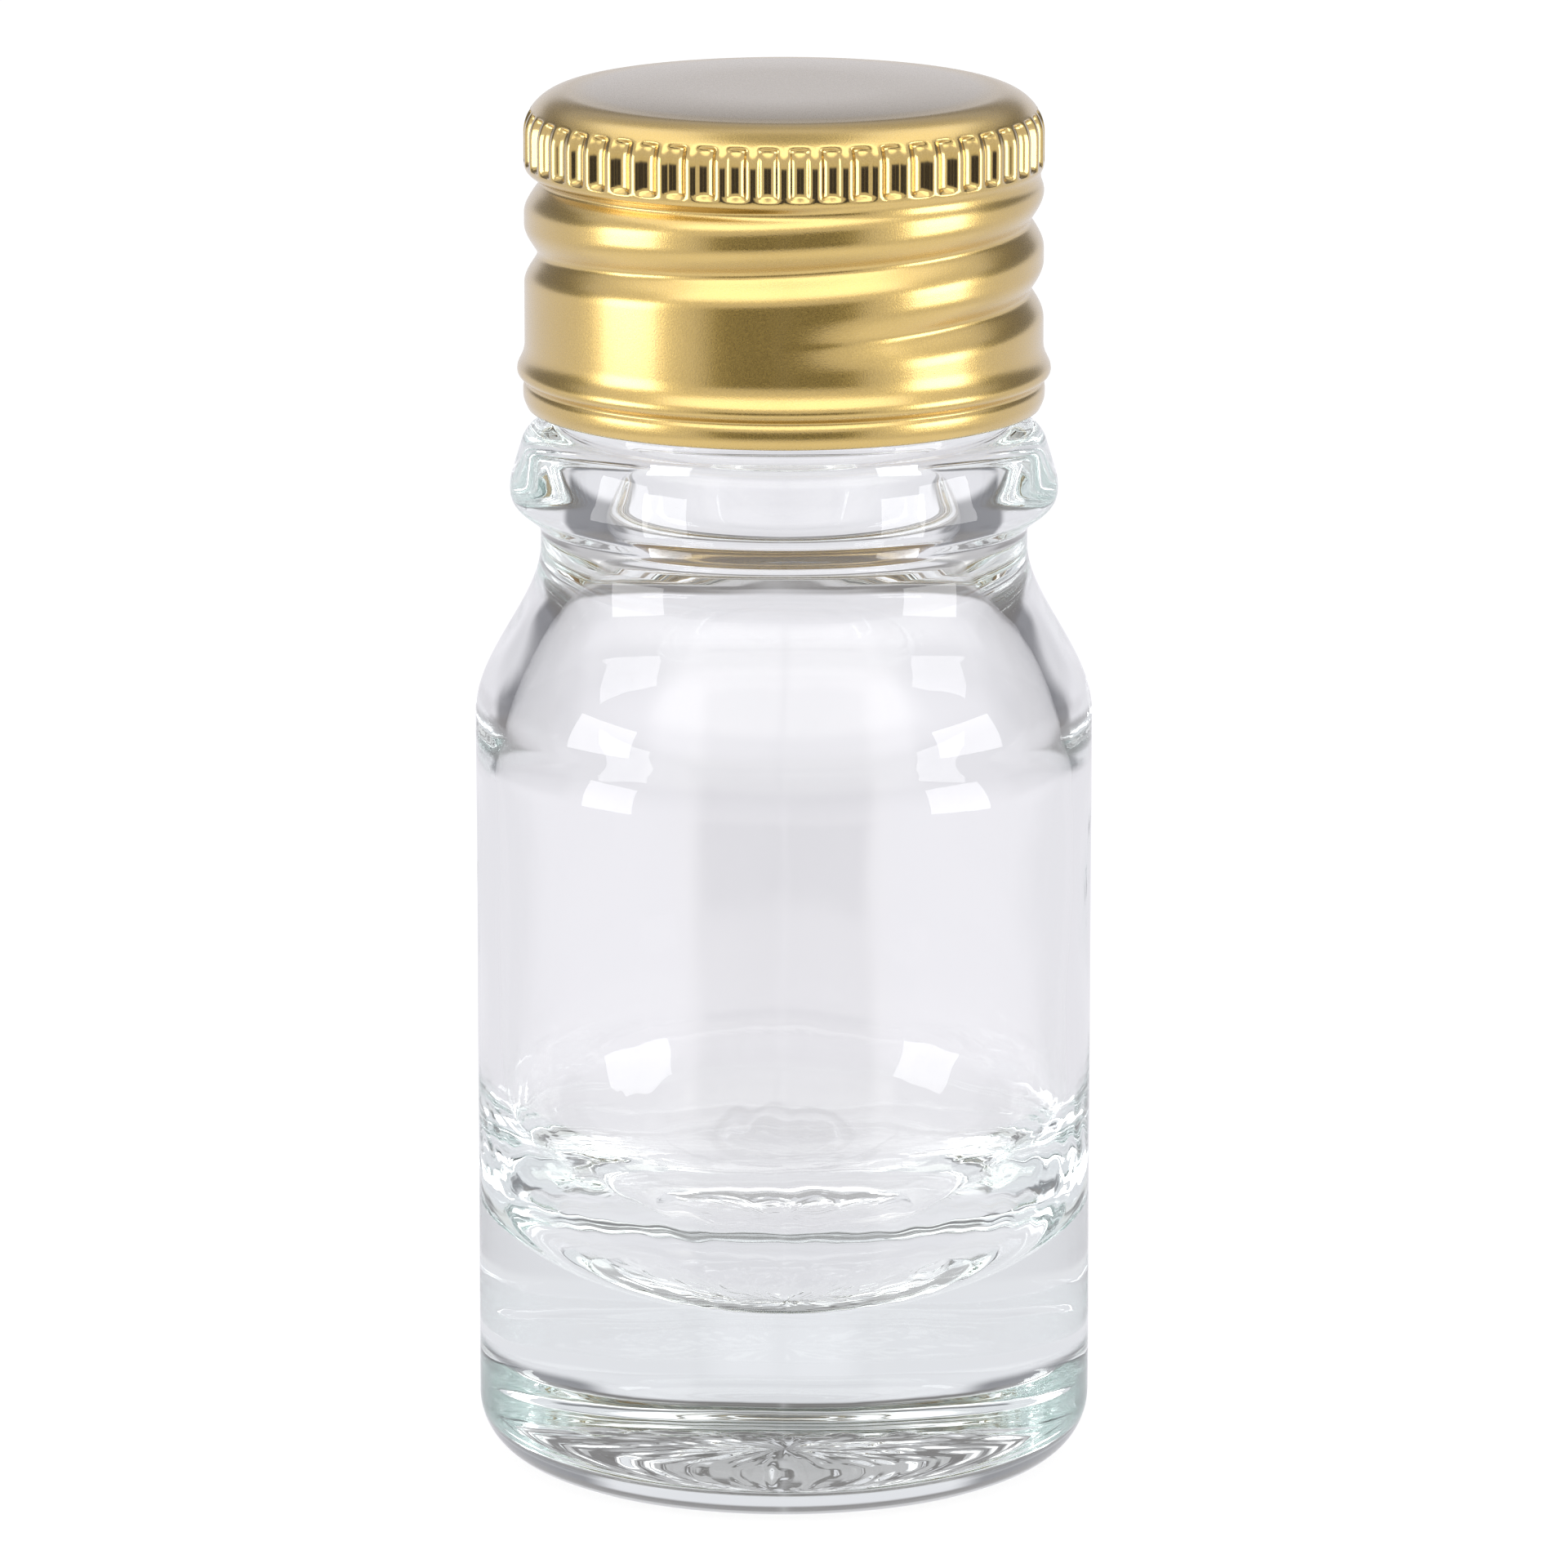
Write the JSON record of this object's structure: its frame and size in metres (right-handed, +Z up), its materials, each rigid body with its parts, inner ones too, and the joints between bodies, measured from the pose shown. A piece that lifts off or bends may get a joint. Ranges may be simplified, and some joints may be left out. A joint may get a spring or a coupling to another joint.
{
  "type": "sample vial",
  "caption": "Small clear glass vial with a thick base, a transfer ring below the neck, and a right-hand gold aluminium screw cap with a soft liner.",
  "frame": {"origin": "centre of the plane that the base ring stands on", "axes": "+Z up along the axis of the vial and its cap; the front is at -Y"},
  "size_m": [0.022, 0.022, 0.0496],
  "materials": {
    "clear_glass": "clear flint glass, fire-polished, faintly uneven from the mould",
    "gold_lacquered_aluminium": "satin gold lacquer with a fine metallic grain, brighter on the knurl",
    "liner_film": "thin smooth film",
    "liner_foam": "white closed-cell foam"
  },
  "bodies": {
    "bottle": {"glass_bottle": "clear_glass"},
    "liner": {"liner_facing": "liner_film", "liner_foam": "liner_foam"},
    "cap": {"cap_shell": "gold_lacquered_aluminium"}
  },
  "joints": [
    {"name": "cap_lift", "type": "slide", "parent": "bottle", "child": "liner", "axis": [0, 0, 1], "range_m": [0, 0.0125]},
    {"name": "cap_turn", "type": "hinge", "parent": "liner", "child": "cap", "pos_m": [0, 0, 0.044], "axis": [0, 0, 1], "range_deg": [0, 1800]}
  ],
  "couplings": [
    {"joint": "cap_turn", "follows": "cap_lift", "rad_per_m": 2513.3}
  ]
}
